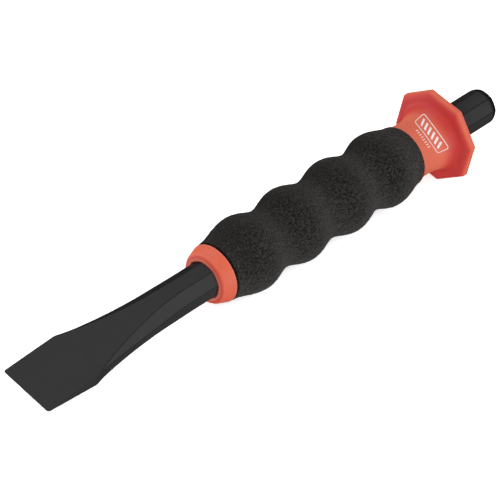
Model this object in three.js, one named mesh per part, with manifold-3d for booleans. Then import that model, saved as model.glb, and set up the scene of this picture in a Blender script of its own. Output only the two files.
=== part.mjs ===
// Flat cold chisel with a foam finger grip and an octagonal hand guard.
// Millimetres, +Z up. +X runs along the bar from the cutting edge to the struck head, and the flat
// faces of the blade look up and down. The origin is below the middle of the bar, level with the
// lowest flat of the guard.
import * as THREE from 'three';
import { mergeVertices } from 'three/addons/utils/BufferGeometryUtils.js';
import Module from 'manifold-3d';

const wasm = await Module();
wasm.setup();

// Driving dimensions. Places along the bar are measured from the cutting edge.
const LENGTH = 250;
const SHANK_FLATS = 14;
const BLADE_WIDTH = 24;
const BLADE_LENGTH = 24.5;
const FLARE_END = 78;
const TIP_THICKNESS = 0.5;
const WEDGE_END = 70;
const EDGE_BREAK = 0.2;
// The blade narrows to the shank on a power curve, with a quick extra step just behind the shoulder.
const FLARE_POWER = 1.6;
const SHOULDER_POWER = 12;
const SHOULDER_SHARE = 0.15;
// How much sooner than the flare ends the octagon's slanting facets reach their full width.
const FACET_GROWTH = 1.2;
const HEAD_CHAMFER = 1.5;

const GUARD_FLATS = 37.1;
const GUARD_BACK = 222.4;
const PLATE_LEDGE = 0.3;
const RIM_THICKNESS = 1.9;
const RIM_BEVEL_DEPTH = 2.0;
const RIM_BEVEL_WIDTH = 2.3;
const NECK_END_RADIUS = 11.9;
const NECK_RADIUS = 11.5;
const NECK_START = 201.4;
const FLARE_START = 207.5;

const CORE_RADIUS = 9.4;
const CORE_START = 93.5;
const GAP = 0.3;

const COLLAR_LIP = 1.4;
const COLLAR_START = 90.6;
const COLLAR_END = 96.4;
const COLLAR_NOSE_RADIUS = 10.9;
const COLLAR_NOSE_DEPTH = 2.4;
const COLLAR_END_RADIUS = 12.1;

const FOAM_FRONT_RADIUS = 12.2;
const FOAM_BACK_RADIUS = 12.7;
const BULGE_RADIUS = 15.55;
const WAIST_RADIUS = 12.6;
const BULGE_PLACES = [113.5, 138.4, 164.0, 187.7];
const WAIST_PLACES = [125.8, 151.2, 176.4];

const AXIS_HEIGHT = GUARD_FLATS / 2;
const OCTAGON_SIDES = 8;
const ROUND_SEGMENTS = 48;
const CORNER_FACTOR = 1 / Math.cos(Math.PI / OCTAGON_SIDES);
const SHANK_CHAMFER = (SHANK_FLATS / 2) * (1 - Math.tan(Math.PI / OCTAGON_SIDES));

// Solids

function toSolid(geometry) {
  const bare = geometry.index ? geometry.toNonIndexed() : geometry.clone();
  bare.deleteAttribute('normal');
  bare.deleteAttribute('uv');
  const merged = mergeVertices(bare, 1e-4);
  return new wasm.Manifold(new wasm.Mesh({
    numProp: 3,
    vertProperties: new Float32Array(merged.attributes.position.array),
    triVerts: new Uint32Array(merged.index.array),
  }));
}

function toGeometry(solid) {
  const mesh = solid.getMesh();
  const geometry = new THREE.BufferGeometry();
  geometry.setAttribute('position', new THREE.BufferAttribute(mesh.vertProperties, 3));
  geometry.setIndex(new THREE.BufferAttribute(mesh.triVerts, 1));
  const faceted = geometry.toNonIndexed();
  faceted.computeVertexNormals();
  return faceted;
}

// A closed body through a row of rings, each ring a list of [y, z] points at its own x. The rings
// turn from +Y to +Z, and x rises from ring to ring.
function loftAlongX(rings) {
  const count = rings[0].points.length;
  const positions = rings.flatMap(({ x, points }) => points.flatMap(([y, z]) => [x, y, z]));
  const indices = [];
  for (let ring = 0; ring + 1 < rings.length; ring += 1) {
    for (let i = 0; i < count; i += 1) {
      const a = ring * count + i;
      const b = ring * count + ((i + 1) % count);
      indices.push(a, b, b + count, a, b + count, a + count);
    }
  }
  const last = (rings.length - 1) * count;
  for (let i = 1; i + 1 < count; i += 1) {
    indices.push(0, i + 1, i);
    indices.push(last, last + i, last + i + 1);
  }
  const geometry = new THREE.BufferGeometry();
  geometry.setAttribute('position', new THREE.Float32BufferAttribute(positions, 3));
  geometry.setIndex(indices);
  return geometry;
}

// A body of revolution about the bar, from a closed outline of [place, radius] points that runs
// round the section from the front, out, back and in.
function revolve(outline) {
  const points = outline.map(([place, radius]) => new THREE.Vector2(radius, place));
  if (outline[0][1] > 0) points.push(points[0].clone());
  const geometry = new THREE.LatheGeometry(points, ROUND_SEGMENTS);
  geometry.rotateZ(-Math.PI / 2);
  return geometry;
}

// An octagonal section with flats up, down and to both sides.
function octagon(acrossFlats) {
  const radius = (acrossFlats / 2) * CORNER_FACTOR;
  return Array.from({ length: OCTAGON_SIDES }, (unused, i) => {
    const angle = ((i + 0.5) / OCTAGON_SIDES) * 2 * Math.PI;
    return [radius * Math.cos(angle), radius * Math.sin(angle)];
  });
}

function octagonBar(start, end, acrossFlats) {
  const points = octagon(acrossFlats);
  return loftAlongX([{ x: start, points }, { x: end, points }]);
}

// Bar

function bladeHalfWidth(place) {
  if (place <= BLADE_LENGTH) return BLADE_WIDTH / 2;
  const toShoulder = Math.max(0, (FLARE_END - place) / (FLARE_END - BLADE_LENGTH));
  const taper = (1 - SHOULDER_SHARE) * toShoulder ** FLARE_POWER;
  const sweep = taper + SHOULDER_SHARE * toShoulder ** SHOULDER_POWER;
  return SHANK_FLATS / 2 + ((BLADE_WIDTH - SHANK_FLATS) / 2) * sweep;
}

function bladeHalfThickness(place) {
  const rise = Math.min(1, place / WEDGE_END);
  return TIP_THICKNESS / 2 + ((SHANK_FLATS - TIP_THICKNESS) / 2) * rise;
}

function facetLeg(place) {
  const grown = Math.max(0, (place - BLADE_LENGTH) / (FLARE_END - BLADE_LENGTH));
  const share = Math.sin((Math.PI / 2) * Math.min(1, FACET_GROWTH * grown));
  return Math.max(EDGE_BREAK, SHANK_CHAMFER * share);
}

function barRing(place) {
  const w = bladeHalfWidth(place);
  const h = bladeHalfThickness(place);
  const leg = facetLeg(place);
  const corner = [[w, h - leg], [w - leg, h]];
  const mirrored = corner.map(([y, z]) => [-y, z]).reverse();
  const upper = [...corner, ...mirrored];
  const lower = upper.map(([y, z]) => [-y, -z]);
  return { x: place, points: [...upper, ...lower] };
}

function chiselBar() {
  const FLARE_STEPS = 18;
  const CLOSER_AT_SHOULDER = 1.3;
  const flarePlaces = Array.from({ length: FLARE_STEPS + 1 }, (unused, i) => (
    BLADE_LENGTH + (FLARE_END - BLADE_LENGTH) * (i / FLARE_STEPS) ** CLOSER_AT_SHOULDER
  ));
  const places = [0, ...flarePlaces, WEDGE_END, LENGTH].sort((a, b) => a - b);
  const bar = toSolid(loftAlongX(places.map(barRing)));
  const cornerRadius = (SHANK_FLATS / 2) * CORNER_FACTOR;
  const clearRadius = BLADE_WIDTH;
  const turned = toSolid(revolve([
    [-1, 0],
    [-1, clearRadius],
    [LENGTH / 2, clearRadius],
    [LENGTH - HEAD_CHAMFER, cornerRadius],
    [LENGTH, cornerRadius - HEAD_CHAMFER],
    [LENGTH, 0],
  ]));
  return toGeometry(bar.intersect(turned));
}

// Grip

function guardSleeve() {
  const rimFront = GUARD_BACK - RIM_THICKNESS;
  const plateFront = rimFront - RIM_BEVEL_DEPTH;
  const plateFlats = GUARD_FLATS - 2 * RIM_BEVEL_WIDTH;
  const flareRadius = plateFlats / 2 - PLATE_LEDGE;
  const FLARE_STEPS = 8;
  const flare = Array.from({ length: FLARE_STEPS + 1 }, (unused, i) => {
    const angle = (i / FLARE_STEPS) * (Math.PI / 2);
    return [
      FLARE_START + (plateFront - FLARE_START) * Math.sin(angle),
      NECK_RADIUS + (flareRadius - NECK_RADIUS) * (1 - Math.cos(angle)),
    ];
  });
  const WAIST_STEPS = 4;
  const waist = Array.from({ length: WAIST_STEPS - 1 }, (unused, i) => {
    const share = (i + 1) / WAIST_STEPS;
    return [
      NECK_START + (FLARE_START - NECK_START) * share,
      NECK_RADIUS + (NECK_END_RADIUS - NECK_RADIUS) * (1 - share) ** 2,
    ];
  });
  const tube = toSolid(revolve([
    [CORE_START, 0],
    [CORE_START, CORE_RADIUS],
    [NECK_START, CORE_RADIUS],
    [NECK_START, NECK_END_RADIUS],
    ...waist,
    ...flare,
    [rimFront, flareRadius],
    [rimFront, 0],
  ]));
  const plate = toSolid(loftAlongX([
    { x: plateFront, points: octagon(plateFlats) },
    { x: rimFront, points: octagon(GUARD_FLATS) },
    { x: GUARD_BACK, points: octagon(GUARD_FLATS) },
  ]));
  const bore = toSolid(octagonBar(CORE_START - 1, GUARD_BACK + 1, SHANK_FLATS + 2 * GAP));
  return toGeometry(tube.add(plate).subtract(bore));
}

// The foam swells and narrows on cosine waves between its ends, bulges and waists.
function foamRadius(place, start, end) {
  const places = [start];
  const radii = [FOAM_FRONT_RADIUS];
  BULGE_PLACES.forEach((bulge, i) => {
    places.push(bulge, WAIST_PLACES[i] ?? end);
    radii.push(BULGE_RADIUS, i < WAIST_PLACES.length ? WAIST_RADIUS : FOAM_BACK_RADIUS);
  });
  const after = Math.max(1, places.findIndex((p) => p >= place));
  const share = (place - places[after - 1]) / (places[after] - places[after - 1]);
  const blend = (1 - Math.cos(Math.PI * share)) / 2;
  return radii[after - 1] + (radii[after] - radii[after - 1]) * blend;
}

function foamGrip() {
  const start = COLLAR_END + GAP;
  const end = NECK_START - GAP;
  const STEPS = 42;
  const inner = CORE_RADIUS + GAP;
  const outside = Array.from({ length: STEPS + 1 }, (unused, i) => {
    const place = start + ((end - start) * i) / STEPS;
    return [place, foamRadius(place, start, end)];
  });
  return revolve([[start, inner], ...outside, [end, inner]]);
}

function frontCollar() {
  const shoulderSeat = CORE_START - GAP;
  const lip = SHANK_FLATS / 2 + COLLAR_LIP;
  const NOSE_STEPS = 5;
  const nose = Array.from({ length: NOSE_STEPS + 1 }, (unused, i) => {
    const angle = (i / NOSE_STEPS) * (Math.PI / 2);
    return [
      COLLAR_START + COLLAR_NOSE_DEPTH * (1 - Math.cos(angle)),
      lip + (COLLAR_NOSE_RADIUS - lip) * Math.sin(angle),
    ];
  });
  const ring = toSolid(revolve([
    [COLLAR_START, 0],
    ...nose,
    [COLLAR_END, COLLAR_END_RADIUS],
    [COLLAR_END, 0],
  ]));
  const bore = toSolid(octagonBar(COLLAR_START - 1, COLLAR_END + 1, SHANK_FLATS + 2 * GAP));
  const seat = toSolid(revolve([
    [shoulderSeat, 0],
    [shoulderSeat, CORE_RADIUS + GAP],
    [COLLAR_END + 1, CORE_RADIUS + GAP],
    [COLLAR_END + 1, 0],
  ]));
  return toGeometry(ring.subtract(bore).subtract(seat));
}

// Assembly

function finish(color, roughness, metalness) {
  return new THREE.MeshStandardMaterial({ color, roughness, metalness });
}

function addPiece(group, name, geometry, material) {
  const mesh = new THREE.Mesh(geometry, material);
  mesh.name = name;
  group.add(mesh);
}

const chisel = new THREE.Group();
addPiece(chisel, 'chisel_bar', chiselBar(), finish(0x2b2b2b, 0.5, 0.3));
addPiece(chisel, 'guard_sleeve', guardSleeve(), finish(0xd8604c, 0.45, 0));
addPiece(chisel, 'foam_grip', foamGrip(), finish(0x1c1b1a, 0.95, 0));
addPiece(chisel, 'front_collar', frontCollar(), finish(0xd8604c, 0.45, 0));
chisel.position.set(-LENGTH / 2, 0, AXIS_HEIGHT);

export default chisel;
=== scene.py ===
import math

import bmesh
import bpy
import numpy as np
from mathutils import Matrix, Quaternion, Vector, noise


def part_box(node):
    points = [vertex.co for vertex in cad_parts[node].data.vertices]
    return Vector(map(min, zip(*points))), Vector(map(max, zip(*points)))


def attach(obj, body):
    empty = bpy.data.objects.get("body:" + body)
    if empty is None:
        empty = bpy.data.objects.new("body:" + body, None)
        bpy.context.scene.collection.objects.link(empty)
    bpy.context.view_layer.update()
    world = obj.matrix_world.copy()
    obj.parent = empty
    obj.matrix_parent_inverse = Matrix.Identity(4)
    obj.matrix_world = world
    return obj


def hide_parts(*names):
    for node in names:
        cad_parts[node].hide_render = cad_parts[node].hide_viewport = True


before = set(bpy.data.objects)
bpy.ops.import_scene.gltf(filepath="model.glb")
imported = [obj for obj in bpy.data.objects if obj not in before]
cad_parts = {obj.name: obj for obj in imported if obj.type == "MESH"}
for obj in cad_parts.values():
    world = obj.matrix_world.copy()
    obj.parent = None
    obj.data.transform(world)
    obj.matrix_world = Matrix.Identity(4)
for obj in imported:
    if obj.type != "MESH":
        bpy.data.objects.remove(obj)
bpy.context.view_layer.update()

MM = 0.001
ROUNDING_SLACK = 1e-9

# The frame's own sizes: places along the bar are measured from the cutting edge.
BAR_LOW, BAR_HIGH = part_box("chisel_bar")
GUARD_LOW, GUARD_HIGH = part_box("guard_sleeve")
COLLAR_LOW, COLLAR_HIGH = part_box("front_collar")
FOAM_LOW, FOAM_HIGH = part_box("foam_grip")
EDGE_X = BAR_LOW.x
AXIS_Z = (BAR_LOW.z + BAR_HIGH.z) / 2
LENGTH = BAR_HIGH.x - BAR_LOW.x
BLADE_HALF_WIDTH = BAR_HIGH.y
SHANK_HALF = (BAR_HIGH.z - BAR_LOW.z) / 2
GUARD_APOTHEM = (GUARD_HIGH.z - GUARD_LOW.z) / 2
GUARD_BACK = GUARD_HIGH.x - EDGE_X
CORE_START = GUARD_LOW.x - EDGE_X
COLLAR_START = COLLAR_LOW.x - EDGE_X
COLLAR_END = COLLAR_HIGH.x - EDGE_X
COLLAR_RADIUS = COLLAR_HIGH.y
FOAM_START = FOAM_LOW.x - EDGE_X
FOAM_END = FOAM_HIGH.x - EDGE_X
BULGE_RADIUS = FOAM_HIGH.y

# Sizes inside the pieces' boxes, which follow the CAD. First, the bar's.
BLADE_LENGTH = 24.5 * MM
FLARE_END = 78 * MM
WEDGE_END = 70 * MM
TIP_HALF_THICKNESS = 0.25 * MM
EDGE_BREAK = 0.2 * MM
FLARE_POWER = 1.6
SHOULDER_POWER = 12
SHOULDER_SHARE = 0.15
FACET_GROWTH = 1.2

# The gap between neighbours, and the sleeve's sizes.
GAP = 0.3 * MM
BORE_APOTHEM = SHANK_HALF + GAP
CORE_RADIUS = 9.4 * MM
RIM_FRONT = GUARD_BACK - 1.9 * MM
NECK_START = FOAM_END + GAP
NECK_END_RADIUS = 11.9 * MM
NECK_RADIUS = 11.5 * MM
FLARE_START = 207.5 * MM
FLARE_RADIUS = 15.9 * MM
PLATE_FRONT = 218.5 * MM

# The collar's and the foam's sizes.
COLLAR_NOSE_RADIUS = 10.9 * MM
COLLAR_NOSE_DEPTH = 2.4 * MM
COLLAR_LIP = 1.4 * MM
FOAM_FRONT_RADIUS = 12.2 * MM
FOAM_BACK_RADIUS = 12.7 * MM
WAIST_RADIUS = 12.6 * MM
BULGE_PLACES = [113.5 * MM, 138.4 * MM, 164.0 * MM, 187.7 * MM]
WAIST_PLACES = [125.8 * MM, 151.2 * MM, 176.4 * MM]

# The struck head's wear, which only this model has: how far it reaches, and how round it leaves
# the bar.
HEAD_WEAR_START = 228 * MM
HEAD_RADIUS = 7.55 * MM
HEAD_ROUNDNESS = 0.75
HEAD_RIM_DEPTH = 2.4 * MM
HEAD_RIM_LOSS = 1.3 * MM

OCTAGON_SIDES = 8
QUARTER_TURN = math.pi / 2
HALF_SIDE_ANGLE = math.pi / OCTAGON_SIDES
SHANK_LEG = SHANK_HALF * (1 - math.tan(HALF_SIDE_ANGLE))


# Mesh helpers

def spread(low, high, step):
    """Places from low to high, both included, no further apart than step."""
    count = max(1, math.ceil((high - low) / step - ROUNDING_SLACK))
    return [low + (high - low) * i / count for i in range(count + 1)]


def smooth_step(low, high, value):
    t = min(1.0, max(0.0, (value - low) / (high - low)))
    return t * t * (3 - 2 * t)


def at(place, y, z):
    """A point in the row frame, from a place along the bar and offsets from its axis."""
    return (EDGE_X + place, y, AXIS_Z + z)


def new_piece(name, vertices, faces):
    mesh = bpy.data.meshes.new(name)
    mesh.from_pydata(vertices, [], faces)
    shaped = bmesh.new()
    shaped.from_mesh(mesh)
    bmesh.ops.recalc_face_normals(shaped, faces=shaped.faces)
    shaped.to_mesh(mesh)
    shaped.free()
    mesh.validate()
    mesh.shade_smooth()
    piece = bpy.data.objects.new(name, mesh)
    bpy.context.scene.collection.objects.link(piece)
    return piece


def loft(name, rings, closed):
    """A skin through rings of equal point counts. It joins its last ring to its first if closed,
    and otherwise closes each end with a fan to its middle."""
    count = len(rings[0])
    vertices = [point for ring in rings for point in ring]
    faces = []
    joins = len(rings) if closed else len(rings) - 1
    for row in range(joins):
        here = row * count
        there = ((row + 1) % len(rings)) * count
        for i in range(count):
            j = (i + 1) % count
            faces.append((here + i, here + j, there + j, there + i))
    if not closed:
        for start in (0, (len(rings) - 1) * count):
            middle = len(vertices)
            ring = np.array(vertices[start:start + count])
            vertices.append(tuple(ring.mean(axis=0)))
            faces += [(start + i, start + (i + 1) % count, middle) for i in range(count)]
    return new_piece(name, vertices, faces)


def octagon_radius(angle, apothem, crispness):
    """The distance to a round-cornered octagon's outline at an angle from +Y. A higher crispness
    gives sharper corners."""
    total = 0.0
    for side in range(OCTAGON_SIDES):
        toward = math.cos(angle - side * 2 * HALF_SIDE_ANGLE)
        total += max(0.0, toward) ** crispness
    return apothem * total ** (-1 / crispness)


def crowded(share, crowding):
    """A share of the way along a side, moved towards the side's nearer end."""
    return share - crowding * math.sin(2 * math.pi * share) / (2 * math.pi)


def corner_angles(per_side, crowding):
    """Angles once round, closer together at an octagon's corners."""
    angles = []
    for side in range(OCTAGON_SIDES):
        for i in range(per_side):
            share = crowded(i / per_side, crowding)
            angles.append((side + 0.5 + share) * 2 * HALF_SIDE_ANGLE)
    return angles


def polar_ring(place, angles, radii):
    return [at(place, r * math.cos(a), r * math.sin(a)) for a, r in zip(angles, radii)]


def octagon_ring(place, angles, apothem, squareness, crispness):
    """A ring between a circle (squareness 0) and an octagon (squareness 1)."""
    radii = []
    for angle in angles:
        octagonal = octagon_radius(angle, apothem, crispness)
        radii.append(apothem + squareness * (octagonal - apothem))
    return polar_ring(place, angles, radii)


def mark_points(piece, name, values):
    """Gives each point of a piece one value, for its material to read."""
    attribute = piece.data.attributes.new(name, "FLOAT", "POINT")
    attribute.data.foreach_set("value", values)


def mark_rings(piece, name, values, count):
    """Gives each ring of a lofted piece, of count points, one value."""
    mark_points(piece, name, [value for value in values for _ in range(count)])


# Bar

def raw_half_width(place):
    """The bar's half width before its shoulders are rounded."""
    if place <= BLADE_LENGTH:
        return BLADE_HALF_WIDTH
    to_shoulder = max(0.0, (FLARE_END - place) / (FLARE_END - BLADE_LENGTH))
    taper = (1 - SHOULDER_SHARE) * to_shoulder ** FLARE_POWER
    sweep = taper + SHOULDER_SHARE * to_shoulder ** SHOULDER_POWER
    return SHANK_HALF + (BLADE_HALF_WIDTH - SHANK_HALF) * sweep


def raw_half_thickness(place):
    """The bar's half thickness before the wedge's end is rounded."""
    rise = min(1.0, max(0.0, place / WEDGE_END))
    return TIP_HALF_THICKNESS + (SHANK_HALF - TIP_HALF_THICKNESS) * rise


def softened(outline, place, reach):
    """An outline's value averaged over its neighbourhood, which rounds its corners."""
    samples = 9
    offsets = [reach * (2 * i / (samples - 1) - 1) for i in range(samples)]
    return sum(outline(place + d) for d in offsets) / samples


def facet_leg(place):
    """How far the bar's diagonal facets cut into its corners."""
    grown = max(0.0, (place - BLADE_LENGTH) / (FLARE_END - BLADE_LENGTH))
    share = math.sin(QUARTER_TURN * min(1.0, FACET_GROWTH * grown))
    return max(EDGE_BREAK, SHANK_LEG * share)


def bar_section(half_width, half_height, leg, round_radius):
    """The bar's eight-sided section with rounded edges: its points, and each one's edge value,
    which sets its painted shade.
    """
    arc_steps, flat_steps = 4, 7
    highest_edge_value = 0.75
    longest_cut_share = 0.4
    crowding = 0.8
    quarter = [(half_width, half_height - leg), (half_width - leg, half_height)]
    mirrored = [(-y, z) for y, z in reversed(quarter)]
    upper = quarter + mirrored
    corners = [Vector(c) for c in upper + [(-y, -z) for y, z in upper]]
    count = len(corners)
    sides = [corners[(i + 1) % count] - corners[i] for i in range(count)]
    shortest = min(side.length for side in sides)
    cut = min(round_radius * math.tan(HALF_SIDE_ANGLE), longest_cut_share * shortest)
    points, edges = [], []
    for i in range(count):
        corner = corners[i]
        before = corner - sides[i - 1].normalized() * cut
        after = corner + sides[i].normalized() * cut
        for step in range(arc_steps + 1):
            t = step / arc_steps
            points.append(before * (1 - t) ** 2 + corner * 2 * t * (1 - t) + after * t ** 2)
            edges.append(highest_edge_value * math.sin(math.pi * t))
        following = corners[(i + 1) % count] - sides[i].normalized() * cut
        for step in range(1, flat_steps):
            points.append(after.lerp(following, crowded(step / flat_steps, crowding)))
            edges.append(0.0)
    return points, edges


def worn_head(radius, place):
    """A distance from the axis after wear: the struck end is rounder, and its rim rounded over."""
    rim_start = LENGTH - HEAD_RIM_DEPTH
    roundness = HEAD_ROUNDNESS * smooth_step(HEAD_WEAR_START, rim_start, place)
    worn = radius + (HEAD_RADIUS - radius) * roundness
    into_rim = max(0.0, place - rim_start) / HEAD_RIM_DEPTH
    lost = HEAD_RIM_LOSS * (1 - math.sqrt(max(0.0, 1 - into_rim ** 2)))
    return worn - lost


def rounded_off(place, radius):
    """How much a rounded corner at the cutting edge takes off at a place along the bar."""
    into = min(1.0, place / radius)
    return radius * (1 - math.sqrt(1 - (1 - into) ** 2))


def bar_places():
    """Where the bar's rings lie: closer together where its outline turns."""
    rim_start = LENGTH - HEAD_RIM_DEPTH
    parts = [
        spread(0, 0.3 * MM, 0.05 * MM),
        spread(0.3 * MM, 1.2 * MM, 0.15 * MM),
        spread(1.2 * MM, BLADE_LENGTH - 1.5 * MM, 2 * MM),
        spread(BLADE_LENGTH - 1.5 * MM, BLADE_LENGTH + 2 * MM, 0.2 * MM),
        spread(BLADE_LENGTH + 2 * MM, FLARE_END + 2 * MM, 0.8 * MM),
        spread(FLARE_END + 2 * MM, HEAD_WEAR_START, 6 * MM),
        spread(HEAD_WEAR_START, rim_start, 0.8 * MM),
        spread(rim_start, LENGTH - 0.5 * MM, 0.2 * MM),
        spread(LENGTH - 0.5 * MM, LENGTH - 0.1 * MM, 0.1 * MM),
        spread(LENGTH - 0.1 * MM, LENGTH, 0.02 * MM),
    ]
    return sorted({round(p, 7) for part in parts for p in part})


def bar_half_sizes(place):
    """The bar's half width and half height, with the cutting edge's corners rounded."""
    shoulder_round, wedge_round = 0.9 * MM, 5 * MM
    corner_round, edge_round = 1.0 * MM, 0.3 * MM
    most_lost = 0.6 * TIP_HALF_THICKNESS
    half_width = softened(raw_half_width, place, shoulder_round)
    half_width -= rounded_off(place, corner_round)
    half_height = softened(raw_half_thickness, place, min(wedge_round, place))
    half_height -= min(rounded_off(place, edge_round), most_lost)
    return half_width, half_height


def bar_ring(place):
    """The bar's ring of points at a place, and each point's edge value."""
    shank_round, head_round = 0.7 * MM, 1.1 * MM
    longest_leg_share = 0.7
    half_width, half_height = bar_half_sizes(place)
    leg = min(facet_leg(place), longest_leg_share * half_height)
    headward = smooth_step(GUARD_BACK, LENGTH, place)
    section_round = shank_round + (head_round - shank_round) * headward
    points, edges = bar_section(half_width, half_height, leg, section_round)
    if place > HEAD_WEAR_START:
        points = [p * (worn_head(p.length, place) / p.length) for p in points]
    # Painted shade: the rim of the struck end is darkened to black through the edge value.
    rim_dark_from, rim_dark_to = LENGTH - 1.4 * HEAD_RIM_DEPTH, LENGTH - 0.8 * HEAD_RIM_DEPTH
    rim = smooth_step(rim_dark_from, rim_dark_to, place)
    return [at(place, y, z) for y, z in points], [max(value, rim) for value in edges]


def shrink_ring(ring, share):
    middle = Vector(at(0, 0, 0))
    middle.x = ring[0][0]
    return [tuple(middle + (Vector(p) - middle) * share) for p in ring]


def make_bar():
    end_ring_shares = (0.97, 0.6)
    rings, marks = [], []
    for place in bar_places():
        ring, edges = bar_ring(place)
        rings.append(ring)
        marks.append(edges)
    for share in end_ring_shares:
        first, last = rings[0], rings[-1]
        marks.insert(0, marks[0])
        marks.append([value / 2 for value in marks[-1]])
        rings.insert(0, shrink_ring(first, share))
        rings.append(shrink_ring(last, share))
    bar = loft("bar", rings, closed=False)
    middles = [0.0, 0.0]
    mark_points(bar, "edge", [value for ring in marks for value in ring] + middles)
    return bar


# Moulded plastic. A station is one ring of a section: (place, apothem, squareness).

def edge_values(stations, edges, reach):
    """How near each ring of a section lies to the piece's outside edges, from 0 to 1."""
    values = []
    for place, radius, _ in stations:
        nearest = min(math.dist((place, radius), edge) for edge in edges)
        values.append(1 - smooth_step(0, reach, nearest))
    return values


# Guard sleeve

def neck_radius(place):
    """The round part of the sleeve behind the foam, up to where the guard's plate starts."""
    if place < FLARE_START:
        share = (place - NECK_START) / (FLARE_START - NECK_START)
        return NECK_RADIUS + (NECK_END_RADIUS - NECK_RADIUS) * (1 - share) ** 2
    share = min(1.0, (place - FLARE_START) / (PLATE_FRONT - FLARE_START))
    return NECK_RADIUS + (FLARE_RADIUS - NECK_RADIUS) * (1 - math.sqrt(1 - share ** 2))


def tube_stations(edge_round):
    """The tube under the foam: its front end, and its outside as far as the neck."""
    stations = [(CORE_START + edge_round, BORE_APOTHEM, 1)]
    stations.append((CORE_START + 0.1 * MM, BORE_APOTHEM, 1))
    stations.append((CORE_START, BORE_APOTHEM + 0.2 * MM, 1))
    stations.append((CORE_START, CORE_RADIUS - edge_round, 0))
    stations.append((CORE_START + edge_round, CORE_RADIUS, 0))
    for place in spread(CORE_START + 2 * MM, NECK_START - MM, 20 * MM):
        stations.append((place, CORE_RADIUS, 0))
    stations.append((NECK_START, CORE_RADIUS, 0))
    stations.append((NECK_START, CORE_RADIUS + 0.3 * MM, 0))
    return stations


def neck_stations(edge_round):
    """The neck: its front face, its rounded edge, and its outside as far as the flare."""
    stations = [(NECK_START, NECK_END_RADIUS - 0.8 * MM, 0)]
    for angle in spread(0, QUARTER_TURN, math.pi / 8):
        place = NECK_START + edge_round * (1 - math.cos(angle))
        radius = neck_radius(NECK_START + edge_round) - edge_round * (1 - math.sin(angle))
        stations.append((place, radius, 0))
    for place in spread(NECK_START + 0.6 * MM, FLARE_START, 0.7 * MM):
        stations.append((place, neck_radius(place), 0))
    return stations


def plate_stations():
    """The flare up to the plate, and the bevel out to the octagonal rim."""
    plate_squareness = 0.45
    stations = []
    for angle in spread(math.radians(4), math.radians(86), math.radians(4.1)):
        place = FLARE_START + (PLATE_FRONT - FLARE_START) * math.sin(angle)
        square = plate_squareness * smooth_step(math.radians(45), QUARTER_TURN, angle)
        stations.append((place, neck_radius(place), square))
    bevel_depth = RIM_FRONT - PLATE_FRONT
    bevel_width = GUARD_APOTHEM - FLARE_RADIUS
    for angle in spread(math.radians(8), math.radians(86), math.radians(6)):
        place = PLATE_FRONT + bevel_depth * (1 - math.cos(angle))
        squarer = smooth_step(0, math.radians(55), angle)
        square = plate_squareness + (1 - plate_squareness) * squarer
        stations.append((place, FLARE_RADIUS + bevel_width * math.sin(angle), square))
    return stations


def guard_back_stations(edge_round):
    """The rim, its rounded back edge, the flat back, and the bore's rounded mouth."""
    back_round = 0.4 * MM
    stations = []
    for place in spread(RIM_FRONT + 0.2 * MM, GUARD_BACK - 0.5 * MM, 0.4 * MM):
        stations.append((place, GUARD_APOTHEM, 1))
    for angle in spread(0, QUARTER_TURN, math.pi / 10):
        place = GUARD_BACK - back_round * (1 - math.sin(angle))
        stations.append((place, GUARD_APOTHEM - back_round * (1 - math.cos(angle)), 1))
    for radius in (17.9 * MM, 16 * MM, 13 * MM, 10.5 * MM, 8.6 * MM, BORE_APOTHEM + 0.5 * MM):
        stations.append((GUARD_BACK, radius, 1))
    for angle in spread(0, QUARTER_TURN, math.pi / 8):
        place = GUARD_BACK - edge_round * (1 - math.cos(angle))
        stations.append((place, BORE_APOTHEM + edge_round * (1 - math.sin(angle)), 1))
    return stations


def bore_stations():
    """The sleeve's bore, from the guard's back to the tube's front."""
    places = spread(CORE_START + 2 * MM, GUARD_BACK - 2 * MM, 30 * MM) + [GUARD_BACK - MM]
    return [(place, BORE_APOTHEM, 1) for place in reversed(places)]


def sleeve_stations():
    """Once round the sleeve's section, from the front of its bore."""
    edge_round = 0.3 * MM
    stations = tube_stations(edge_round) + neck_stations(edge_round) + plate_stations()
    return stations + guard_back_stations(edge_round) + bore_stations()


def hollow_shade_value(place):
    """How much painted shade deepens the red: 1 in the hollow where the neck meets the guard's
    plate. It fades to 0 on the neck, and across the bevel to the rim."""
    into = smooth_step(FLARE_START + 3.8 * MM, PLATE_FRONT - 0.7 * MM, place)
    return into * (1 - smooth_step(PLATE_FRONT + 0.2 * MM, PLATE_FRONT + 2.0 * MM, place))


def neck_highlight(place):
    """How strongly a painted highlight pales the neck, fading out into the guard's hollow."""
    neck_highlight_strength = 0.27
    return neck_highlight_strength * (1 - smooth_step(FLARE_START + 3 * MM, PLATE_FRONT - 1.0 * MM, place))


def make_sleeve():
    angles = corner_angles(per_side=24, crowding=0.8)
    crispness = 280
    highlight_width = 0.45 * MM
    stations = sleeve_stations()
    rings = [octagon_ring(place, angles, apothem, square, crispness)
             for place, apothem, square in stations]
    sleeve = loft("sleeve", rings, closed=True)
    edges = [(RIM_FRONT, GUARD_APOTHEM), (GUARD_BACK, GUARD_APOTHEM), (NECK_START, NECK_END_RADIUS)]
    # Painted highlights: pale lines along the rim's and the neck's edges, and a pale sheen across
    # the neck.
    edge_and_neck_highlight = []
    for value, (place, _, _) in zip(edge_values(stations, edges, highlight_width), stations):
        edge_and_neck_highlight.append(max(value / 2, neck_highlight(place)))
    mark_rings(sleeve, "edge", edge_and_neck_highlight, len(angles))
    # Painted shade: a deeper red in the hollow where the neck meets the plate.
    mark_rings(sleeve, "hollow", [hollow_shade_value(place) for place, _, _ in stations], len(angles))
    return sleeve


# Front collar

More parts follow.
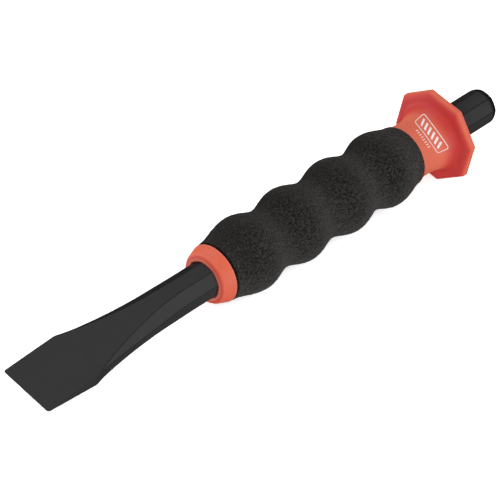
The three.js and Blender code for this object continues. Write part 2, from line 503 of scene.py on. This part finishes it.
def nose_stations(edge_round):
    """The bore's rounded mouth, and the nose's roll out from the lip."""
    lip = SHANK_HALF + COLLAR_LIP
    stations = [(COLLAR_START + 1.2 * MM, BORE_APOTHEM, 1)]
    for angle in spread(0, QUARTER_TURN, math.pi / 8):
        place = COLLAR_START + edge_round * (1 - math.sin(angle))
        radius = BORE_APOTHEM + edge_round * (1 - math.cos(angle))
        stations.append((place, radius, 1 - angle / math.pi))
    for angle in spread(0, QUARTER_TURN, math.pi / 24):
        place = COLLAR_START + COLLAR_NOSE_DEPTH * (1 - math.cos(angle))
        stations.append((place, lip + (COLLAR_NOSE_RADIUS - lip) * math.sin(angle), 0))
    return stations


def cone_stations(edge_round):
    """The collar's cone, slightly swollen, and its rounded back edge."""
    most_swell = 0.12 * MM
    nose_end = COLLAR_START + COLLAR_NOSE_DEPTH
    stations = []
    for place in spread(nose_end + 0.3 * MM, COLLAR_END - edge_round, 0.5 * MM):
        share = (place - nose_end) / (COLLAR_END - nose_end)
        swell = most_swell * math.sin(math.pi * share)
        radius = COLLAR_NOSE_RADIUS + (COLLAR_RADIUS - COLLAR_NOSE_RADIUS) * share + swell
        stations.append((place, min(radius, COLLAR_RADIUS), 0))
    for angle in spread(math.pi / 10, QUARTER_TURN, math.pi / 10):
        place = COLLAR_END - edge_round * (1 - math.sin(angle))
        stations.append((place, COLLAR_RADIUS - edge_round * (1 - math.cos(angle)), 0))
    return stations


def seat_stations():
    """The collar's back, and the hidden seat for the sleeve's tube."""
    seat = CORE_RADIUS + GAP
    seat_front = CORE_START - GAP
    corner = 0.1 * MM
    return [
        (COLLAR_END, seat + 0.5 * MM, 0),
        (COLLAR_END, seat + 0.05 * MM, 0),
        (COLLAR_END - corner, seat, 0),
        (seat_front + corner, seat, 0),
        (seat_front, seat - corner, 0.2),
        (seat_front, BORE_APOTHEM + corner, 1),
        (seat_front - corner, BORE_APOTHEM, 1),
    ]


def collar_stations():
    """Once round the collar's section, from the front of its bore."""
    edge_round = 0.35 * MM
    return nose_stations(edge_round) + cone_stations(edge_round) + seat_stations()


def nose_shade_value(place, radius):
    """How strongly painted shade deepens the red of the collar's nose, in a band just outside its
    lip.
    """
    deepest = 0.7
    away = math.dist((place, radius), (COLLAR_START, SHANK_HALF + COLLAR_LIP))
    inner_fade = smooth_step(0.3 * MM, 0.8 * MM, away)
    outer_fade = 1 - smooth_step(1.0 * MM, 2.2 * MM, away)
    return deepest * inner_fade * outer_fade


def make_collar():
    angles = corner_angles(per_side=18, crowding=0.5)
    crispness = 60
    highlight_width = 0.5 * MM
    stations = collar_stations()
    rings = [octagon_ring(place, angles, apothem, square, crispness)
             for place, apothem, square in stations]
    collar = loft("collar", rings, closed=True)
    # Painted highlights: pale lines along the collar's back edge and its lip.
    edges = [(COLLAR_END, COLLAR_RADIUS), (COLLAR_START, SHANK_HALF + COLLAR_LIP)]
    mark_rings(collar, "edge", edge_values(stations, edges, highlight_width), len(angles))
    # Painted shade: a deeper red band on the nose's roll, just outside the lip.
    hollow = [nose_shade_value(place, radius) for place, radius, _ in stations]
    mark_rings(collar, "hollow", hollow, len(angles))
    return collar


# Foam grip

def foam_radius(place):
    """Cosine waves between the foam's ends, bulges and waists."""
    places = [FOAM_START]
    radii = [FOAM_FRONT_RADIUS]
    for i, bulge in enumerate(BULGE_PLACES):
        last = i == len(WAIST_PLACES)
        places += [bulge, FOAM_END if last else WAIST_PLACES[i]]
        radii += [BULGE_RADIUS, FOAM_BACK_RADIUS if last else WAIST_RADIUS]
    after = next(i for i in range(1, len(places)) if places[i] >= place - ROUNDING_SLACK)
    share = (place - places[after - 1]) / (places[after] - places[after - 1])
    blend = (1 - math.cos(math.pi * share)) / 2
    return radii[after - 1] + (radii[after] - radii[after - 1]) * blend


def foam_skin_depth(point):
    """How far below its smooth outline the foam's open-celled skin lies at a point."""
    pit_size, pit_depth = 1.1 * MM, 0.20 * MM
    roll_size, roll_depth = 2.6 * MM, 0.06 * MM
    pitted = 0.5 + 0.5 * noise.noise(Vector(point) / pit_size)
    rolling = 0.5 + 0.5 * noise.noise(Vector(point) / roll_size)
    middle_depth = (pit_depth + roll_depth) / 2
    return pit_depth * pitted + roll_depth * rolling - middle_depth


def end_shade_value(place):
    """How much painted shade darkens the foam: 1 at its cut ends and 0 past their rounding."""
    away = min(place - FOAM_START, FOAM_END - place)
    return 1 - smooth_step(0.2 * MM, 1.0 * MM, away)


def foam_outline():
    """(place, radius) along the foam's outside, with its ends rounded."""
    end_round = 0.9 * MM
    first, last = FOAM_START + end_round + 0.3 * MM, FOAM_END - end_round - 0.3 * MM
    outline = []
    for angle in spread(0, QUARTER_TURN, math.pi / 8):
        place = FOAM_START + end_round * (1 - math.cos(angle))
        outline.append((place, foam_radius(place) - end_round * (1 - math.sin(angle))))
    for place in spread(first, last, 0.5 * MM):
        outline.append((place, foam_radius(place)))
    for angle in spread(0, QUARTER_TURN, math.pi / 8):
        place = FOAM_END - end_round * (1 - math.sin(angle))
        outline.append((place, foam_radius(place) - end_round * (1 - math.cos(angle))))
    return outline


def make_foam():
    around = 208
    inner = CORE_RADIUS + GAP
    end_face = inner + 0.6 * MM
    angles = [2 * math.pi * i / around for i in range(around)]
    rings = [polar_ring(FOAM_START, angles, [radius] * around) for radius in (inner, end_face)]
    for place, radius in foam_outline():
        smooth = polar_ring(place, angles, [radius] * around)
        rings.append(polar_ring(place, angles, [radius - foam_skin_depth(p) for p in smooth]))
    rings += [polar_ring(FOAM_END, angles, [radius] * around) for radius in (end_face, inner)]
    for place in reversed(spread(FOAM_START + 8 * MM, FOAM_END - 8 * MM, 12 * MM)):
        rings.append(polar_ring(place, angles, [inner] * around))
    foam = loft("foam", rings, closed=True)
    mark_rings(foam, "end", [end_shade_value(ring[0][0] - EDGE_X) for ring in rings], around)
    return foam


# Printed mark

MARK_PLACE = 210.4 * MM
MARK_ANGLE = math.radians(112.4)
MARK_HALF_LONG = 8.6 * MM
MARK_HALF_WIDE = 2.9 * MM
MARK_BOW = 2.0 * MM
INK_LIFT = 0.01 * MM
INK_DEPTH = 0.03 * MM


def frame_strip():
    """A rounded rectangle's outline, as an outer and an inner row of points."""
    corner, stroke, pitch = 1.3 * MM, 0.32 * MM, 0.5 * MM
    centres = []
    for sx, sy in ((1, 1), (-1, 1), (-1, -1), (1, -1)):
        centres.append((sx * (MARK_HALF_LONG - corner), sy * (MARK_HALF_WIDE - corner)))
    outer, inner = [], []
    for quarter, (cx, cy) in enumerate(centres):
        start_angle = quarter * QUARTER_TURN
        for angle in spread(start_angle, start_angle + QUARTER_TURN, math.radians(15)):
            for row, radius in ((outer, corner), (inner, corner - stroke)):
                row.append((cx + radius * math.cos(angle), cy + radius * math.sin(angle)))
        following = (quarter + 1) % len(centres)
        run = math.dist((cx, cy), centres[following])
        steps = math.ceil(run / pitch)
        for row in (outer, inner):
            start = row[-1]
            dx, dy = (centres[following][0] - cx) / steps, (centres[following][1] - cy) / steps
            row += [(start[0] + dx * i, start[1] + dy * i) for i in range(1, steps)]
    return [outer, inner]


def bar_strip(middle, low, high, half_stroke, slant):
    """A straight bar of ink across the mark, as the two rows of points along its sides."""
    pitch = 0.4 * MM
    rows = []
    for side in (-half_stroke, half_stroke):
        rows.append([(middle + side + slant * y, y) for y in spread(low, high, pitch)])
    return rows


def on_neck(point, height):
    """Wraps a flat point of the mark, (round the neck, along the bar), onto the neck's surface."""
    x, y = point
    place = MARK_PLACE + y + MARK_BOW * (x / MARK_HALF_LONG) ** 2
    angle = MARK_ANGLE - x / NECK_RADIUS
    radius = neck_radius(place) + height
    return at(place, radius * math.cos(angle), radius * math.sin(angle))


def ink(strip, looped, vertices, faces):
    """Adds a strip of ink with its real thickness to a mesh's points and faces."""
    count = len(strip[0])
    base = len(vertices)
    for height in (INK_LIFT, INK_LIFT + INK_DEPTH):
        for row in strip:
            vertices += [on_neck(point, height) for point in row]
    low_a, low_b, high_a, high_b = (base + count * k for k in range(4))
    for i in range(count if looped else count - 1):
        j = (i + 1) % count
        for a, b in ((low_a, low_b), (low_b, high_b), (high_b, high_a), (high_a, low_a)):
            faces.append((a + i, a + j, b + j, b + i))
    if not looped:
        for i in (0, count - 1):
            faces.append((low_a + i, low_b + i, high_b + i, high_a + i))


def make_mark():
    """A plain frame with slanted bars in it, and a row of ticks beside it."""
    vertices, faces = [], []
    ink(frame_strip(), True, vertices, faces)
    slanted_bars = (6, 2.25 * MM, (-1.5 * MM, 1.5 * MM, 0.52 * MM, 0.5))
    ticks = (8, 1.15 * MM, (-5.3 * MM, -4.0 * MM, 0.16 * MM, 0))
    for count, pitch, (low, high, half_stroke, slant) in (slanted_bars, ticks):
        for i in range(count):
            middle = (i - (count - 1) / 2) * pitch
            ink(bar_strip(middle, low, high, half_stroke, slant), False, vertices, faces)
    return new_piece("neck_mark", vertices, faces)


# Materials

# Most of a noise's values lie between these.
NOISE_LOW, NOISE_HIGH = 0.3, 0.7


class Nodes:
    """A short way to build a material's node tree."""

    def __init__(self, name):
        self.material = bpy.data.materials.new(name)
        self.material.use_nodes = True
        self.tree = self.material.node_tree
        self.shader = self.tree.nodes["Principled BSDF"]
        self.place = self.add("ShaderNodeTexCoord").outputs["Object"]

    def add(self, kind, **settings):
        node = self.tree.nodes.new(kind)
        for key, value in settings.items():
            setattr(node, key, value)
        return node

    def link(self, output, socket):
        self.tree.links.new(output, socket)

    def clouds(self, size, detail, roughness=0.55):
        """Noise with features of about the given size."""
        node = self.add("ShaderNodeTexNoise")
        node.inputs["Scale"].default_value = 1 / size
        node.inputs["Detail"].default_value = detail
        node.inputs["Roughness"].default_value = roughness
        self.link(self.place, node.inputs["Vector"])
        return node.outputs["Fac"]

    def ramp(self, value, stops):
        node = self.add("ShaderNodeValToRGB")
        ramp = node.color_ramp
        while len(ramp.elements) < len(stops):
            ramp.elements.new(0.5)
        for element, (position, colour) in zip(ramp.elements, stops):
            element.position = position
            element.color = (*colour, 1)
        self.link(value, node.inputs["Fac"])
        return node.outputs["Color"]

    def remap(self, value, low, high, out_low, out_high):
        node = self.add("ShaderNodeMapRange")
        node.inputs["From Min"].default_value = low
        node.inputs["From Max"].default_value = high
        node.inputs["To Min"].default_value = out_low
        node.inputs["To Max"].default_value = out_high
        self.link(value, node.inputs["Value"])
        return node.outputs["Result"]

    def marked(self, name):
        """The values that the mesh's points carry under a name."""
        return self.add("ShaderNodeAttribute", attribute_name=name).outputs["Fac"]

    def mix(self, share, first, second):
        """From a linked colour to a plain one."""
        colour_a, colour_b, colour_result = 6, 7, 2
        node = self.add("ShaderNodeMix", data_type="RGBA")
        self.link(share, node.inputs["Factor"])
        self.link(first, node.inputs[colour_a])
        node.inputs[colour_b].default_value = (*second, 1)
        return node.outputs[colour_result]

    def bump(self, height, distance, strength, after=None):
        node = self.add("ShaderNodeBump")
        node.inputs["Distance"].default_value = distance
        node.inputs["Strength"].default_value = strength
        self.link(height, node.inputs["Height"])
        if after is not None:
            self.link(after, node.inputs["Normal"])
        return node.outputs["Normal"]

    def finish(self, colour, roughness=None, normal=None, **fixed):
        """Links what varies over the surface, and sets what doesn't on the shader's own sockets."""
        self.link(colour, self.shader.inputs["Base Color"])
        if roughness is not None:
            self.link(roughness, self.shader.inputs["Roughness"])
        if normal is not None:
            self.link(normal, self.shader.inputs["Normal"])
        for socket, value in fixed.items():
            self.shader.inputs[socket.replace("_", " ")].default_value = value
        return self.material


def black_steel():
    """Satin black coating over forged steel, with painted shade darkening its edges and the struck
    end's rim.
    """
    n = Nodes("black_steel")
    mottle = n.clouds(6 * MM, detail=4)
    grain = n.clouds(0.35 * MM, detail=3)
    darker, lighter = (0.0330, 0.0330, 0.0335), (0.0350, 0.0350, 0.0350)
    edge_shade_black = (0.006, 0.006, 0.007)
    colour = n.ramp(mottle, [(NOISE_LOW, darker), (NOISE_HIGH, lighter)])
    # Painted shade: the colour goes towards black along the edges and the struck end's rim.
    colour = n.mix(n.marked("edge"), colour, edge_shade_black)
    roughness = n.remap(mottle, NOISE_LOW, NOISE_HIGH, 0.42, 0.52)
    normal = n.bump(grain, 0.012 * MM, 0.5)
    normal = n.bump(mottle, 0.02 * MM, 0.4, after=normal)
    return n.finish(colour, roughness, normal, Specular_IOR_Level=0.03)


def red_plastic():
    """Satin orange-red plastic, with painted shade in its hollows and painted highlights on its
    edges and neck.
    """
    n = Nodes("red_plastic")
    cloud = n.clouds(9 * MM, detail=2)
    grain = n.clouds(0.22 * MM, detail=2)
    darker, lighter = (0.75, 0.138, 0.076), (0.79, 0.150, 0.084)
    painted_shade_red, highlight_pale = (0.58, 0.046, 0.041), (0.86, 0.34, 0.25)
    strongest_highlight = 0.55
    colour = n.ramp(cloud, [(NOISE_LOW, darker), (NOISE_HIGH, lighter)])
    # Painted shade: a deeper red where the hollow values are high.
    colour = n.mix(n.marked("hollow"), colour, painted_shade_red)
    # Painted highlights: paler where the edge values are high, on the edges and across the neck.
    paleness = n.remap(n.marked("edge"), 0, 1, 0, strongest_highlight)
    colour = n.mix(paleness, colour, highlight_pale)
    roughness = n.remap(grain, NOISE_LOW, NOISE_HIGH, 0.46, 0.54)
    normal = n.bump(grain, 0.008 * MM, 0.6)
    return n.finish(colour, roughness, normal, Specular_IOR_Level=0.2)


def black_foam():
    """Fine-celled foam rubber: matt, near black, paler where its broken cells catch light."""
    n = Nodes("black_foam")
    cell_size = 0.8 * MM
    black, grey = (0.001, 0.001, 0.001), (0.042, 0.040, 0.038)
    patch_grey, most_patchy = (0.010, 0.009, 0.009), 0.35
    cells = n.add("ShaderNodeTexVoronoi", feature="DISTANCE_TO_EDGE")
    cells.inputs["Scale"].default_value = 1 / cell_size
    n.link(n.place, cells.inputs["Vector"])
    wall = n.remap(cells.outputs["Distance"], 0.0, 0.35, 1, 0)
    speck = n.clouds(0.75 * MM, detail=4, roughness=0.7)
    patch = n.clouds(7 * MM, detail=2)
    colour = n.ramp(speck, [(0.42, black), (0.63, grey)])
    patchiness = n.remap(patch, NOISE_LOW, NOISE_HIGH, 0.0, most_patchy)
    colour = n.mix(patchiness, colour, patch_grey)
    # Painted shade: black at the foam's cut ends, where they meet the collar and the sleeve.
    colour = n.mix(n.marked("end"), colour, black)
    height = n.add("ShaderNodeMath", operation="ADD")
    n.link(speck, height.inputs[0])
    n.link(wall, height.inputs[1])
    normal = n.bump(height.outputs["Value"], 0.2 * MM, 0.9)
    roughness = n.remap(speck, NOISE_LOW, NOISE_HIGH, 0.85, 1.0)
    return n.finish(colour, roughness, normal, Specular_IOR_Level=0.0,
                    Sheen_Weight=0.115, Sheen_Roughness=0.57, Sheen_Tint=(1.0, 0.95, 0.92, 1.0))


def white_print():
    """Pad-printed white ink, slightly uneven."""
    n = Nodes("white_print")
    uneven = n.clouds(0.5 * MM, detail=3)
    colour = n.ramp(uneven, [(0.3, (0.90, 0.86, 0.84)), (0.6, (0.97, 0.96, 0.95))])
    roughness = n.remap(uneven, NOISE_LOW, NOISE_HIGH, 0.45, 0.6)
    return n.finish(colour, roughness, Specular_IOR_Level=0.4)


def pale_floor():
    """A matt floor that glows faintly, to read as an even white ground."""
    n = Nodes("pale_floor")
    faint = n.clouds(0.4, detail=2)
    colour = n.ramp(faint, [(NOISE_LOW, (0.93, 0.93, 0.93)), (NOISE_HIGH, (0.95, 0.95, 0.95))])
    return n.finish(colour, Roughness=0.9, Specular_IOR_Level=0.1,
                    Emission_Color=(1, 1, 1, 1), Emission_Strength=0.42)


def dress(piece, material):
    piece.data.materials.append(material)


# Stage

def lay_floor():
    """The floor touches the guard's lowest flat and the first bulge, as the tool really lies."""
    half_side = 6.0
    guard_place = (RIM_FRONT + GUARD_BACK) / 2
    run = guard_place - BULGE_PLACES[0]
    lean = math.asin((GUARD_APOTHEM - BULGE_RADIUS) / run)
    corners = [(-half_side, -half_side, 0), (half_side, -half_side, 0),
               (half_side, half_side, 0), (-half_side, half_side, 0)]
    floor = new_piece("floor", corners, [(0, 1, 2, 3)])
    touch = Vector(at(guard_place, 0, -GUARD_APOTHEM))
    floor.matrix_world = Matrix.Translation(touch) @ Matrix.Rotation(lean, 4, "Y")
    # Only the camera sees the floor: it doesn't light the tool, or block its lights.
    floor.visible_diffuse = False
    floor.visible_glossy = False
    floor.visible_shadow = False
    dress(floor, pale_floor())
    return floor


def direction(azimuth, elevation):
    """From the object towards a viewer, with azimuth 0 looking along +Y."""
    a, e = math.radians(azimuth), math.radians(elevation)
    return Vector((math.sin(a) * math.cos(e), -math.cos(a) * math.cos(e), math.sin(e)))


def soft_light(name, azimuth, elevation, power, pieces=None):
    """A soft disk light aimed at the tool. It lights only the given pieces, if any are given."""
    distance, diameter = 1.3, 1.2
    data = bpy.data.lights.new(name, "AREA")
    data.shape = "DISK"
    data.size = diameter
    data.energy = power
    light = bpy.data.objects.new(name, data)
    back = direction(azimuth, elevation)
    light.location = Vector((0, 0, AXIS_Z)) + back * distance
    light.rotation_mode = "QUATERNION"
    light.rotation_quaternion = (-back).to_track_quat("-Z", "Y")
    bpy.context.scene.collection.objects.link(light)
    if pieces is not None:
        lit = bpy.data.collections.new(name)
        for piece in pieces:
            lit.objects.link(piece)
        light.light_linking.receiver_collection = lit


def light_world(strength):
    """An even white room, dark below the horizon."""
    horizon_blur = 0.2
    world = bpy.data.worlds.new("studio")
    world.use_nodes = True
    tree = world.node_tree
    background = tree.nodes["Background"]
    background.inputs["Color"].default_value = (1, 1, 1, 1)
    heading = tree.nodes.new("ShaderNodeTexCoord")
    split = tree.nodes.new("ShaderNodeSeparateXYZ")
    fade = tree.nodes.new("ShaderNodeMapRange")
    fade.inputs["From Min"].default_value = -horizon_blur
    fade.inputs["From Max"].default_value = horizon_blur
    fade.inputs["To Min"].default_value = 0.0
    fade.inputs["To Max"].default_value = strength
    tree.links.new(heading.outputs["Generated"], split.inputs["Vector"])
    tree.links.new(split.outputs["Z"], fade.inputs["Value"])
    tree.links.new(fade.outputs["Result"], background.inputs["Strength"])
    bpy.context.scene.world = world


def place_camera():
    """The view down the bar from the blade's end, rolled so that the bar rises to the right."""
    azimuth, elevation, roll = -55.3, 46.0, 14.0
    distance = 1.259
    aim = Vector((-9.25 * MM, 0.25 * MM, AXIS_Z + 0.1 * MM))
    sensor_width, focal_length = 36, 239.8
    data = bpy.data.cameras.new("camera")
    data.sensor_width = sensor_width
    data.lens = focal_length
    camera = bpy.data.objects.new("camera", data)
    back = direction(azimuth, elevation)
    camera.location = aim + back * distance
    camera.rotation_mode = "QUATERNION"
    level = (-back).to_track_quat("-Z", "Y")
    camera.rotation_quaternion = level @ Quaternion((0, 0, 1), math.radians(roll))
    data.clip_start, data.clip_end = 0.05, 50
    bpy.context.scene.collection.objects.link(camera)
    bpy.context.scene.camera = camera


# Assembly

steel, plastic, foam_rubber = black_steel(), red_plastic(), black_foam()
PIECES = [
    (make_bar, "chisel_bar", steel, "black_steel"),
    (make_sleeve, "guard_sleeve", plastic, "red_plastic"),
    (make_collar, "front_collar", plastic, "red_plastic"),
    (make_foam, "foam_grip", foam_rubber, "black_foam"),
]
made = {}
for make, node, material, slot in PIECES:
    piece = make()
    made[node] = piece
    dress(piece, material)
    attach(piece, "root")
    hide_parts(node)

mark = make_mark()
dress(mark, white_print())
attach(mark, "root")

floor = lay_floor()
bar, foam = made["chisel_bar"], made["foam_grip"]
plastics = [made["guard_sleeve"], made["front_collar"], mark]
light_world(0.3)
soft_light("near_side", -10, 12, 12.0)
soft_light("blade_end", -70, 12, 10.1, [foam])
soft_light("head_end", 60, 40, 6.0, [foam, floor])
soft_light("foam_back", 95, 35, 6.3, [foam])
soft_light("bar_front", -55, 50, 15.2, [bar, floor])
soft_light("bar_back", -150, -45, 8.0, [bar])
soft_light("plastic_near", -10, 12, 6.5, plastics)
soft_light("far_side", -160, 45, 10.5, [floor] + plastics)
soft_light("end_bounce", -90, -25, 7.0, plastics)
soft_light("far_bounce", -150, -20, 7.5, plastics)
soft_light("guard_back", 90, 5, 7.0, plastics)
soft_light("neck_near", 20, -10, 1.6, [made["guard_sleeve"], mark])
place_camera()
bpy.context.scene.view_settings.view_transform = "Standard"
